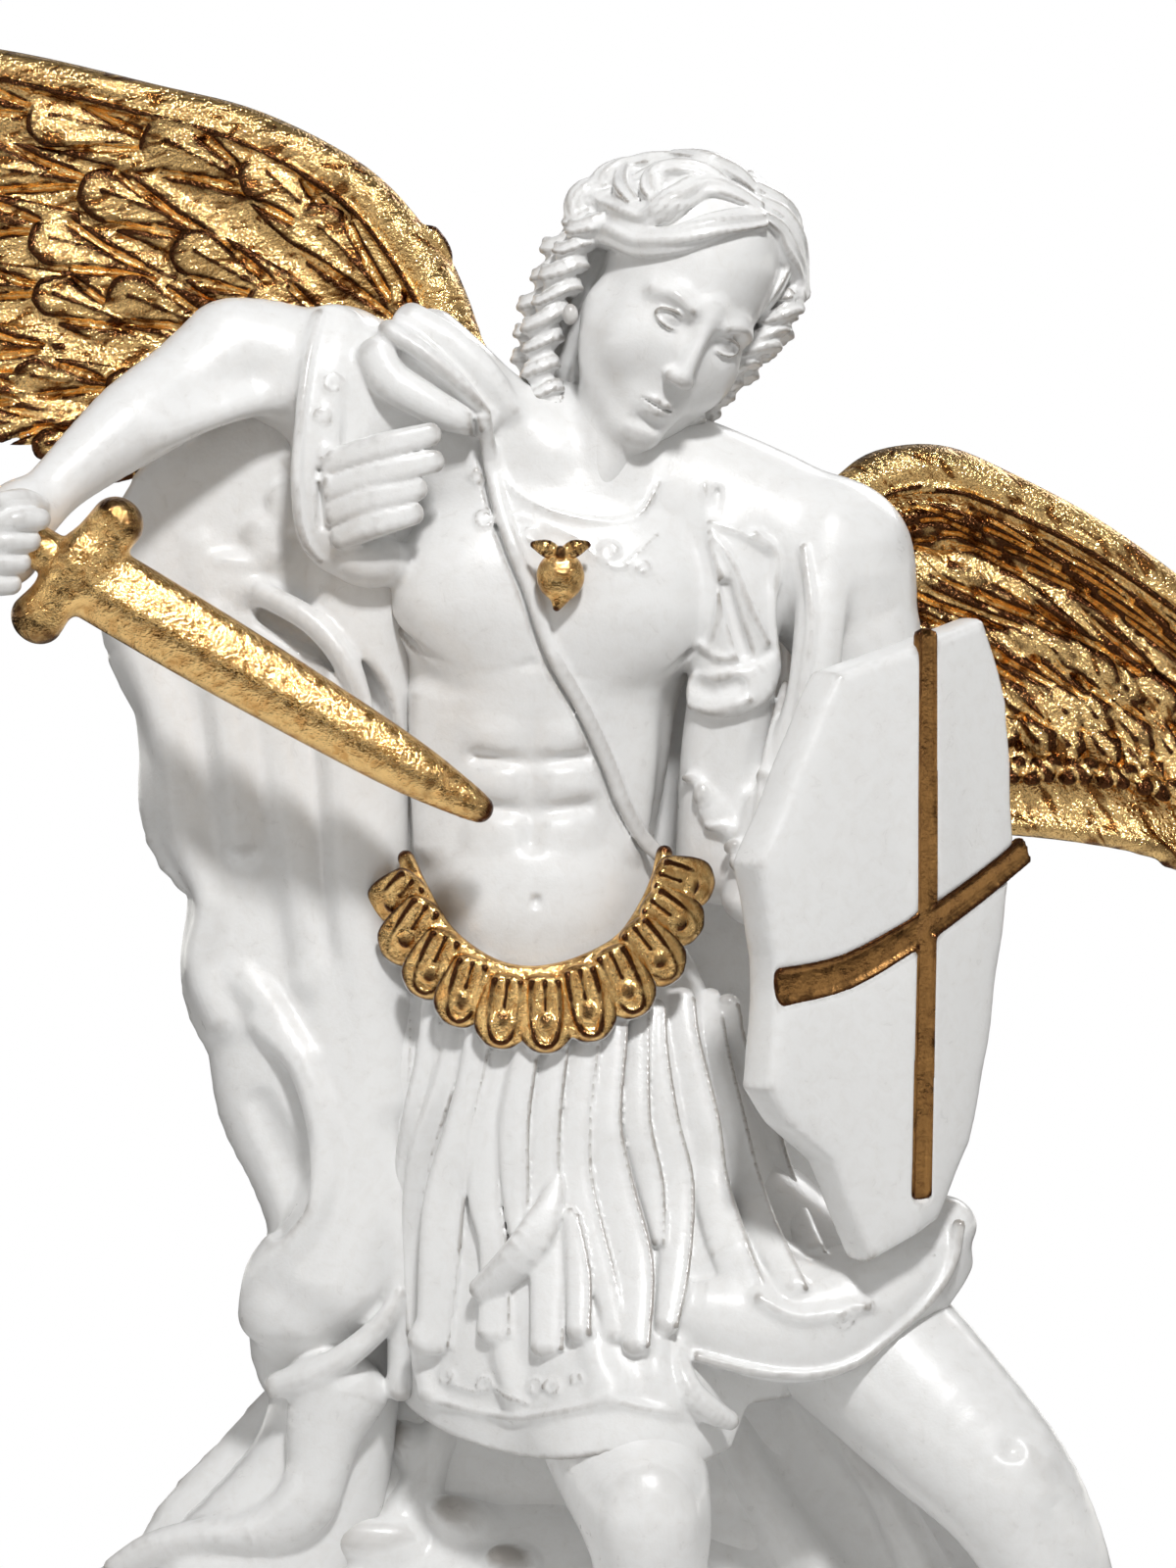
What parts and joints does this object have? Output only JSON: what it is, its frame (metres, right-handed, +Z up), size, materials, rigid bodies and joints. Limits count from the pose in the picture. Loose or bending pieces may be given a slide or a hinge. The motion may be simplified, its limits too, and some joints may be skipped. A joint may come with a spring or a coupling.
{
  "type": "archangel michael statue",
  "caption": "Cast plaster statue of a winged archangel with sword and shield, pearl-white with gilt wings, sword and belt, on a low rocky base.",
  "frame": {"origin": "centre of the whole statue's plan, on the underside of the base", "axes": "+Z up from the base to the wings, -Y towards the front that the figure faces, +X to the figure's left, the viewer's right"},
  "size_m": [0.3074, 0.147, 0.4239],
  "materials": {
    "pearl_white": "glossy pearl-white lacquer over cast plaster",
    "gilt": "bright gold leaf over cast plaster"
  },
  "bodies": {
    "root": {"figure": "pearl_white", "wing_right": "gilt", "wing_left": "gilt", "sword": "gilt"}
  },
  "joints": []
}
